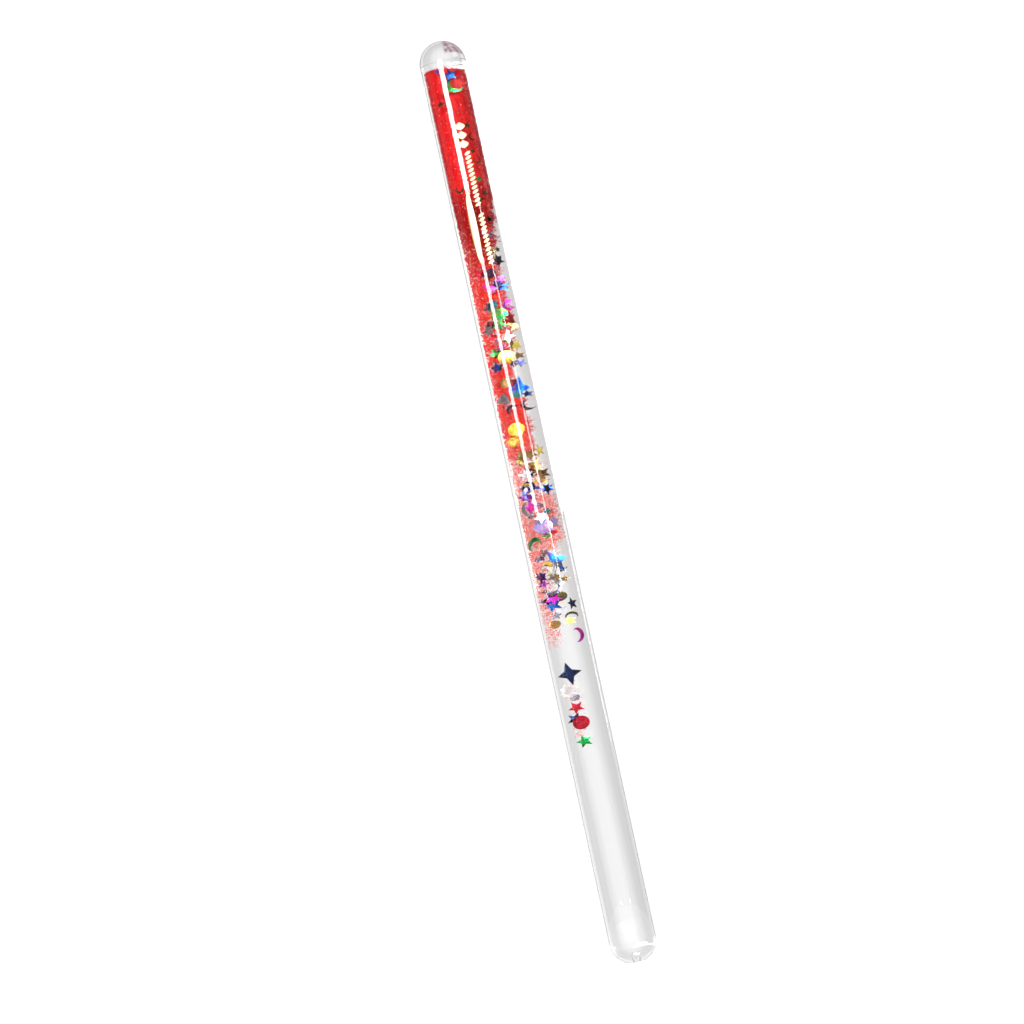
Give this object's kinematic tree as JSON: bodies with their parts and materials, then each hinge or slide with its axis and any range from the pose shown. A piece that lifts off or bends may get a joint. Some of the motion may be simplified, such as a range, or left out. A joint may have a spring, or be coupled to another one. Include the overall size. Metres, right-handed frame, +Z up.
{
  "type": "kaleidoscope glitter wand",
  "caption": "Clear liquid-filled acrylic wand with round ends; loose red glitter and foil shapes sink through it as a wand kaleidoscope's moving object cell.",
  "frame": {"origin": "centre of the flat tip of the round bottom, on the wand's axis", "axes": "+Z up the wand's axis to the domed plug, -Y towards the wand's front, +X to the right seen from the front"},
  "size_m": [0.0152, 0.0152, 0.305],
  "materials": {
    "clear_acrylic": "polished, water-clear",
    "pin_acrylic": "clear, cut flush",
    "clear_liquid": "clear, slightly syrupy liquid",
    "glitter_red": "fine metallic flakes, bright red",
    "foil_blue": "thin metallised film, mirror bright",
    "foil_green": "thin metallised film, mirror bright",
    "foil_black": "thin metallised film, mirror bright",
    "foil_red": "thin metallised film, mirror bright",
    "foil_magenta": "thin metallised film, mirror bright",
    "foil_teal": "thin metallised film, mirror bright",
    "foil_silver": "thin metallised film, mirror bright",
    "foil_pearl": "thin metallised film, mirror bright",
    "foil_gold": "thin metallised film, mirror bright",
    "foil_violet": "thin metallised film, mirror bright",
    "foil_bronze": "thin metallised film, mirror bright",
    "foil_navy": "thin metallised film, mirror bright",
    "foil_purple": "thin metallised film, mirror bright"
  },
  "bodies": {
    "wand": {"tube": "clear_acrylic", "top_plug": "clear_acrylic", "seal_pin": "pin_acrylic", "clear_liquid": "clear_liquid"},
    "blue_star_1": {"blue_star_1": "foil_blue"},
    "green_moon_1": {"green_moon_1": "foil_green"},
    "red_glitter_1": {"red_glitter_1": "glitter_red"},
    "red_glitter_2": {"red_glitter_2": "glitter_red"},
    "green_star_1": {"green_star_1": "foil_green"},
    "red_glitter_3": {"red_glitter_3": "glitter_red"},
    "black_star_1": {"black_star_1": "foil_black"},
    "red_star_1": {"red_star_1": "foil_red"},
    "black_star_2": {"black_star_2": "foil_black"},
    "magenta_moon_1": {"magenta_moon_1": "foil_magenta"},
    "blue_star_2": {"blue_star_2": "foil_blue"},
    "red_glitter_4": {"red_glitter_4": "glitter_red"},
    "teal_star_1": {"teal_star_1": "foil_teal"},
    "green_disc_1": {"green_disc_1": "foil_green"},
    "red_star_2": {"red_star_2": "foil_red"},
    "green_star_2": {"green_star_2": "foil_green"},
    "silver_star_1": {"silver_star_1": "foil_silver"},
    "pearl_star_1": {"pearl_star_1": "foil_pearl"},
    "gold_star_1": {"gold_star_1": "foil_gold"},
    "green_star_3": {"green_star_3": "foil_green"},
    "gold_disc_1": {"gold_disc_1": "foil_gold"},
    "violet_star_1": {"violet_star_1": "foil_violet"},
    "blue_diamond_star_1": {"blue_diamond_star_1": "foil_blue"},
    "silver_heart_1": {"silver_heart_1": "foil_silver"},
    "red_glitter_5": {"red_glitter_5": "glitter_red"},
    "gold_disc_2": {"gold_disc_2": "foil_gold"},
    "gold_hexagon_1": {"gold_hexagon_1": "foil_gold"},
    "gold_star_2": {"gold_star_2": "foil_gold"},
    "bronze_star_1": {"bronze_star_1": "foil_bronze"},
    "silver_star_2": {"silver_star_2": "foil_silver"},
    "bronze_star_2": {"bronze_star_2": "foil_bronze"},
    "violet_moon_1": {"violet_moon_1": "foil_violet"},
    "navy_star_1": {"navy_star_1": "foil_navy"},
    "red_glitter_6": {"red_glitter_6": "glitter_red"},
    "magenta_star_1": {"magenta_star_1": "foil_magenta"},
    "silver_moon_1": {"silver_moon_1": "foil_silver"},
    "silver_star_3": {"silver_star_3": "foil_silver"},
    "violet_star_2": {"violet_star_2": "foil_violet"},
    "violet_large_disc_1": {"violet_large_disc_1": "foil_violet"},
    "green_moon_2": {"green_moon_2": "foil_green"},
    "blue_diamond_star_2": {"blue_diamond_star_2": "foil_blue"},
    "gold_moon_1": {"gold_moon_1": "foil_gold"},
    "pearl_star_2": {"pearl_star_2": "foil_pearl"},
    "purple_star_1": {"purple_star_1": "foil_purple"},
    "red_glitter_7": {"red_glitter_7": "glitter_red"},
    "magenta_star_2": {"magenta_star_2": "foil_magenta"},
    "blue_star_3": {"blue_star_3": "foil_blue"},
    "navy_star_2": {"navy_star_2": "foil_navy"},
    "magenta_moon_2": {"magenta_moon_2": "foil_magenta"},
    "navy_diamond_star_1": {"navy_diamond_star_1": "foil_navy"},
    "pearl_disc_1": {"pearl_disc_1": "foil_pearl"},
    "red_star_3": {"red_star_3": "foil_red"},
    "navy_star_3": {"navy_star_3": "foil_navy"},
    "red_disc_1": {"red_disc_1": "foil_red"},
    "green_star_4": {"green_star_4": "foil_green"}
  },
  "joints": [
    {"name": "blue_star_1_sink", "type": "slide", "parent": "wand", "child": "blue_star_1", "axis": [0, 0, -1], "range_m": [0, 0.175]},
    {"name": "green_moon_1_sink", "type": "slide", "parent": "wand", "child": "green_moon_1", "axis": [0, 0, -1], "range_m": [0, 0.1732]},
    {"name": "contents_sink", "type": "slide", "parent": "wand", "child": "red_glitter_1", "axis": [0, 0, -1], "range_m": [0, 0.171], "deforming": ["clear_liquid", "red_glitter_1"]},
    {"name": "red_glitter_2_sink", "type": "slide", "parent": "wand", "child": "red_glitter_2", "axis": [0, 0, -1], "range_m": [0, 0.1614], "deforming": ["red_glitter_2"]},
    {"name": "green_star_1_sink", "type": "slide", "parent": "wand", "child": "green_star_1", "axis": [0, 0, -1], "range_m": [0, 0.1576]},
    {"name": "red_glitter_3_sink", "type": "slide", "parent": "wand", "child": "red_glitter_3", "axis": [0, 0, -1], "range_m": [0, 0.1513], "deforming": ["red_glitter_3"]},
    {"name": "black_star_1_sink", "type": "slide", "parent": "wand", "child": "black_star_1", "axis": [0, 0, -1], "range_m": [0, 0.1437]},
    {"name": "red_star_1_sink", "type": "slide", "parent": "wand", "child": "red_star_1", "axis": [0, 0, -1], "range_m": [0, 0.142]},
    {"name": "black_star_2_sink", "type": "slide", "parent": "wand", "child": "black_star_2", "axis": [0, 0, -1], "range_m": [0, 0.1415]},
    {"name": "magenta_moon_1_sink", "type": "slide", "parent": "wand", "child": "magenta_moon_1", "axis": [0, 0, -1], "range_m": [0, 0.14]},
    {"name": "blue_star_2_sink", "type": "slide", "parent": "wand", "child": "blue_star_2", "axis": [0, 0, -1], "range_m": [0, 0.1395]},
    {"name": "red_glitter_4_sink", "type": "slide", "parent": "wand", "child": "red_glitter_4", "axis": [0, 0, -1], "range_m": [0, 0.1374], "deforming": ["red_glitter_4"]},
    {"name": "teal_star_1_sink", "type": "slide", "parent": "wand", "child": "teal_star_1", "axis": [0, 0, -1], "range_m": [0, 0.1362]},
    {"name": "green_disc_1_sink", "type": "slide", "parent": "wand", "child": "green_disc_1", "axis": [0, 0, -1], "range_m": [0, 0.1348]},
    {"name": "red_star_2_sink", "type": "slide", "parent": "wand", "child": "red_star_2", "axis": [0, 0, -1], "range_m": [0, 0.1342]},
    {"name": "green_star_2_sink", "type": "slide", "parent": "wand", "child": "green_star_2", "axis": [0, 0, -1], "range_m": [0, 0.1331]},
    {"name": "silver_star_1_sink", "type": "slide", "parent": "wand", "child": "silver_star_1", "axis": [0, 0, -1], "range_m": [0, 0.1326]},
    {"name": "pearl_star_1_sink", "type": "slide", "parent": "wand", "child": "pearl_star_1", "axis": [0, 0, -1], "range_m": [0, 0.1311]},
    {"name": "gold_star_1_sink", "type": "slide", "parent": "wand", "child": "gold_star_1", "axis": [0, 0, -1], "range_m": [0, 0.1294]},
    {"name": "green_star_3_sink", "type": "slide", "parent": "wand", "child": "green_star_3", "axis": [0, 0, -1], "range_m": [0, 0.1289]},
    {"name": "gold_disc_1_sink", "type": "slide", "parent": "wand", "child": "gold_disc_1", "axis": [0, 0, -1], "range_m": [0, 0.1278]},
    {"name": "violet_star_1_sink", "type": "slide", "parent": "wand", "child": "violet_star_1", "axis": [0, 0, -1], "range_m": [0, 0.1265]},
    {"name": "blue_diamond_star_1_sink", "type": "slide", "parent": "wand", "child": "blue_diamond_star_1", "axis": [0, 0, -1], "range_m": [0, 0.1225]},
    {"name": "silver_heart_1_sink", "type": "slide", "parent": "wand", "child": "silver_heart_1", "axis": [0, 0, -1], "range_m": [0, 0.1212]},
    {"name": "red_glitter_5_sink", "type": "slide", "parent": "wand", "child": "red_glitter_5", "axis": [0, 0, -1], "range_m": [0, 0.12], "deforming": ["red_glitter_5"]},
    {"name": "gold_disc_2_sink", "type": "slide", "parent": "wand", "child": "gold_disc_2", "axis": [0, 0, -1], "range_m": [0, 0.116]},
    {"name": "gold_hexagon_1_sink", "type": "slide", "parent": "wand", "child": "gold_hexagon_1", "axis": [0, 0, -1], "range_m": [0, 0.1143]},
    {"name": "gold_star_2_sink", "type": "slide", "parent": "wand", "child": "gold_star_2", "axis": [0, 0, -1], "range_m": [0, 0.1119]},
    {"name": "bronze_star_1_sink", "type": "slide", "parent": "wand", "child": "bronze_star_1", "axis": [0, 0, -1], "range_m": [0, 0.1114]},
    {"name": "silver_star_2_sink", "type": "slide", "parent": "wand", "child": "silver_star_2", "axis": [0, 0, -1], "range_m": [0, 0.1085]},
    {"name": "bronze_star_2_sink", "type": "slide", "parent": "wand", "child": "bronze_star_2", "axis": [0, 0, -1], "range_m": [0, 0.1082]},
    {"name": "violet_moon_1_sink", "type": "slide", "parent": "wand", "child": "violet_moon_1", "axis": [0, 0, -1], "range_m": [0, 0.1054]},
    {"name": "navy_star_1_sink", "type": "slide", "parent": "wand", "child": "navy_star_1", "axis": [0, 0, -1], "range_m": [0, 0.1054]},
    {"name": "red_glitter_6_sink", "type": "slide", "parent": "wand", "child": "red_glitter_6", "axis": [0, 0, -1], "range_m": [0, 0.1037], "deforming": ["red_glitter_6"]},
    {"name": "magenta_star_1_sink", "type": "slide", "parent": "wand", "child": "magenta_star_1", "axis": [0, 0, -1], "range_m": [0, 0.1032]},
    {"name": "silver_moon_1_sink", "type": "slide", "parent": "wand", "child": "silver_moon_1", "axis": [0, 0, -1], "range_m": [0, 0.103]},
    {"name": "silver_star_3_sink", "type": "slide", "parent": "wand", "child": "silver_star_3", "axis": [0, 0, -1], "range_m": [0, 0.1013]},
    {"name": "violet_star_2_sink", "type": "slide", "parent": "wand", "child": "violet_star_2", "axis": [0, 0, -1], "range_m": [0, 0.1003]},
    {"name": "violet_large_disc_1_sink", "type": "slide", "parent": "wand", "child": "violet_large_disc_1", "axis": [0, 0, -1], "range_m": [0, 0.0998]},
    {"name": "green_moon_2_sink", "type": "slide", "parent": "wand", "child": "green_moon_2", "axis": [0, 0, -1], "range_m": [0, 0.0972]},
    {"name": "blue_diamond_star_2_sink", "type": "slide", "parent": "wand", "child": "blue_diamond_star_2", "axis": [0, 0, -1], "range_m": [0, 0.094]},
    {"name": "gold_moon_1_sink", "type": "slide", "parent": "wand", "child": "gold_moon_1", "axis": [0, 0, -1], "range_m": [0, 0.093]},
    {"name": "pearl_star_2_sink", "type": "slide", "parent": "wand", "child": "pearl_star_2", "axis": [0, 0, -1], "range_m": [0, 0.0924]},
    {"name": "purple_star_1_sink", "type": "slide", "parent": "wand", "child": "purple_star_1", "axis": [0, 0, -1], "range_m": [0, 0.0918]},
    {"name": "red_glitter_7_sink", "type": "slide", "parent": "wand", "child": "red_glitter_7", "axis": [0, 0, -1], "range_m": [0, 0.0882], "deforming": ["red_glitter_7"]},
    {"name": "magenta_star_2_sink", "type": "slide", "parent": "wand", "child": "magenta_star_2", "axis": [0, 0, -1], "range_m": [0, 0.088]},
    {"name": "blue_star_3_sink", "type": "slide", "parent": "wand", "child": "blue_star_3", "axis": [0, 0, -1], "range_m": [0, 0.087]},
    {"name": "navy_star_2_sink", "type": "slide", "parent": "wand", "child": "navy_star_2", "axis": [0, 0, -1], "range_m": [0, 0.0868]},
    {"name": "magenta_moon_2_sink", "type": "slide", "parent": "wand", "child": "magenta_moon_2", "axis": [0, 0, -1], "range_m": [0, 0.0815]},
    {"name": "navy_diamond_star_1_sink", "type": "slide", "parent": "wand", "child": "navy_diamond_star_1", "axis": [0, 0, -1], "range_m": [0, 0.0757]},
    {"name": "pearl_disc_1_sink", "type": "slide", "parent": "wand", "child": "pearl_disc_1", "axis": [0, 0, -1], "range_m": [0, 0.0731]},
    {"name": "red_star_3_sink", "type": "slide", "parent": "wand", "child": "red_star_3", "axis": [0, 0, -1], "range_m": [0, 0.0702]},
    {"name": "navy_star_3_sink", "type": "slide", "parent": "wand", "child": "navy_star_3", "axis": [0, 0, -1], "range_m": [0, 0.0683]},
    {"name": "red_disc_1_sink", "type": "slide", "parent": "wand", "child": "red_disc_1", "axis": [0, 0, -1], "range_m": [0, 0.0676]},
    {"name": "green_star_4_sink", "type": "slide", "parent": "wand", "child": "green_star_4", "axis": [0, 0, -1], "range_m": [0, 0.0647]}
  ],
  "couplings": [
    {"joint": "blue_star_1_sink", "follows": "contents_sink", "ratio": 1.023},
    {"joint": "green_moon_1_sink", "follows": "contents_sink", "ratio": 1.012},
    {"joint": "red_glitter_2_sink", "follows": "contents_sink", "ratio": 0.943},
    {"joint": "green_star_1_sink", "follows": "contents_sink", "ratio": 0.921},
    {"joint": "red_glitter_3_sink", "follows": "contents_sink", "ratio": 0.884},
    {"joint": "black_star_1_sink", "follows": "contents_sink", "ratio": 0.84},
    {"joint": "red_star_1_sink", "follows": "contents_sink", "ratio": 0.83},
    {"joint": "black_star_2_sink", "follows": "contents_sink", "ratio": 0.827},
    {"joint": "magenta_moon_1_sink", "follows": "contents_sink", "ratio": 0.818},
    {"joint": "blue_star_2_sink", "follows": "contents_sink", "ratio": 0.815},
    {"joint": "red_glitter_4_sink", "follows": "contents_sink", "ratio": 0.803},
    {"joint": "teal_star_1_sink", "follows": "contents_sink", "ratio": 0.796},
    {"joint": "green_disc_1_sink", "follows": "contents_sink", "ratio": 0.788},
    {"joint": "red_star_2_sink", "follows": "contents_sink", "ratio": 0.784},
    {"joint": "green_star_2_sink", "follows": "contents_sink", "ratio": 0.778},
    {"joint": "silver_star_1_sink", "follows": "contents_sink", "ratio": 0.775},
    {"joint": "pearl_star_1_sink", "follows": "contents_sink", "ratio": 0.766},
    {"joint": "gold_star_1_sink", "follows": "contents_sink", "ratio": 0.756},
    {"joint": "green_star_3_sink", "follows": "contents_sink", "ratio": 0.753},
    {"joint": "gold_disc_1_sink", "follows": "contents_sink", "ratio": 0.747},
    {"joint": "violet_star_1_sink", "follows": "contents_sink", "ratio": 0.739},
    {"joint": "blue_diamond_star_1_sink", "follows": "contents_sink", "ratio": 0.716},
    {"joint": "silver_heart_1_sink", "follows": "contents_sink", "ratio": 0.708},
    {"joint": "red_glitter_5_sink", "follows": "contents_sink", "ratio": 0.701},
    {"joint": "gold_disc_2_sink", "follows": "contents_sink", "ratio": 0.678},
    {"joint": "gold_hexagon_1_sink", "follows": "contents_sink", "ratio": 0.668},
    {"joint": "gold_star_2_sink", "follows": "contents_sink", "ratio": 0.654},
    {"joint": "bronze_star_1_sink", "follows": "contents_sink", "ratio": 0.651},
    {"joint": "silver_star_2_sink", "follows": "contents_sink", "ratio": 0.634},
    {"joint": "bronze_star_2_sink", "follows": "contents_sink", "ratio": 0.632},
    {"joint": "violet_moon_1_sink", "follows": "contents_sink", "ratio": 0.616},
    {"joint": "navy_star_1_sink", "follows": "contents_sink", "ratio": 0.616},
    {"joint": "red_glitter_6_sink", "follows": "contents_sink", "ratio": 0.606},
    {"joint": "magenta_star_1_sink", "follows": "contents_sink", "ratio": 0.603},
    {"joint": "silver_moon_1_sink", "follows": "contents_sink", "ratio": 0.602},
    {"joint": "silver_star_3_sink", "follows": "contents_sink", "ratio": 0.592},
    {"joint": "violet_star_2_sink", "follows": "contents_sink", "ratio": 0.586},
    {"joint": "violet_large_disc_1_sink", "follows": "contents_sink", "ratio": 0.583},
    {"joint": "green_moon_2_sink", "follows": "contents_sink", "ratio": 0.568},
    {"joint": "blue_diamond_star_2_sink", "follows": "contents_sink", "ratio": 0.549},
    {"joint": "gold_moon_1_sink", "follows": "contents_sink", "ratio": 0.543},
    {"joint": "pearl_star_2_sink", "follows": "contents_sink", "ratio": 0.54},
    {"joint": "purple_star_1_sink", "follows": "contents_sink", "ratio": 0.536},
    {"joint": "red_glitter_7_sink", "follows": "contents_sink", "ratio": 0.515},
    {"joint": "magenta_star_2_sink", "follows": "contents_sink", "ratio": 0.514},
    {"joint": "blue_star_3_sink", "follows": "contents_sink", "ratio": 0.508},
    {"joint": "navy_star_2_sink", "follows": "contents_sink", "ratio": 0.507},
    {"joint": "magenta_moon_2_sink", "follows": "contents_sink", "ratio": 0.476},
    {"joint": "navy_diamond_star_1_sink", "follows": "contents_sink", "ratio": 0.442},
    {"joint": "pearl_disc_1_sink", "follows": "contents_sink", "ratio": 0.427},
    {"joint": "red_star_3_sink", "follows": "contents_sink", "ratio": 0.41},
    {"joint": "navy_star_3_sink", "follows": "contents_sink", "ratio": 0.399},
    {"joint": "red_disc_1_sink", "follows": "contents_sink", "ratio": 0.395},
    {"joint": "green_star_4_sink", "follows": "contents_sink", "ratio": 0.378}
  ]
}
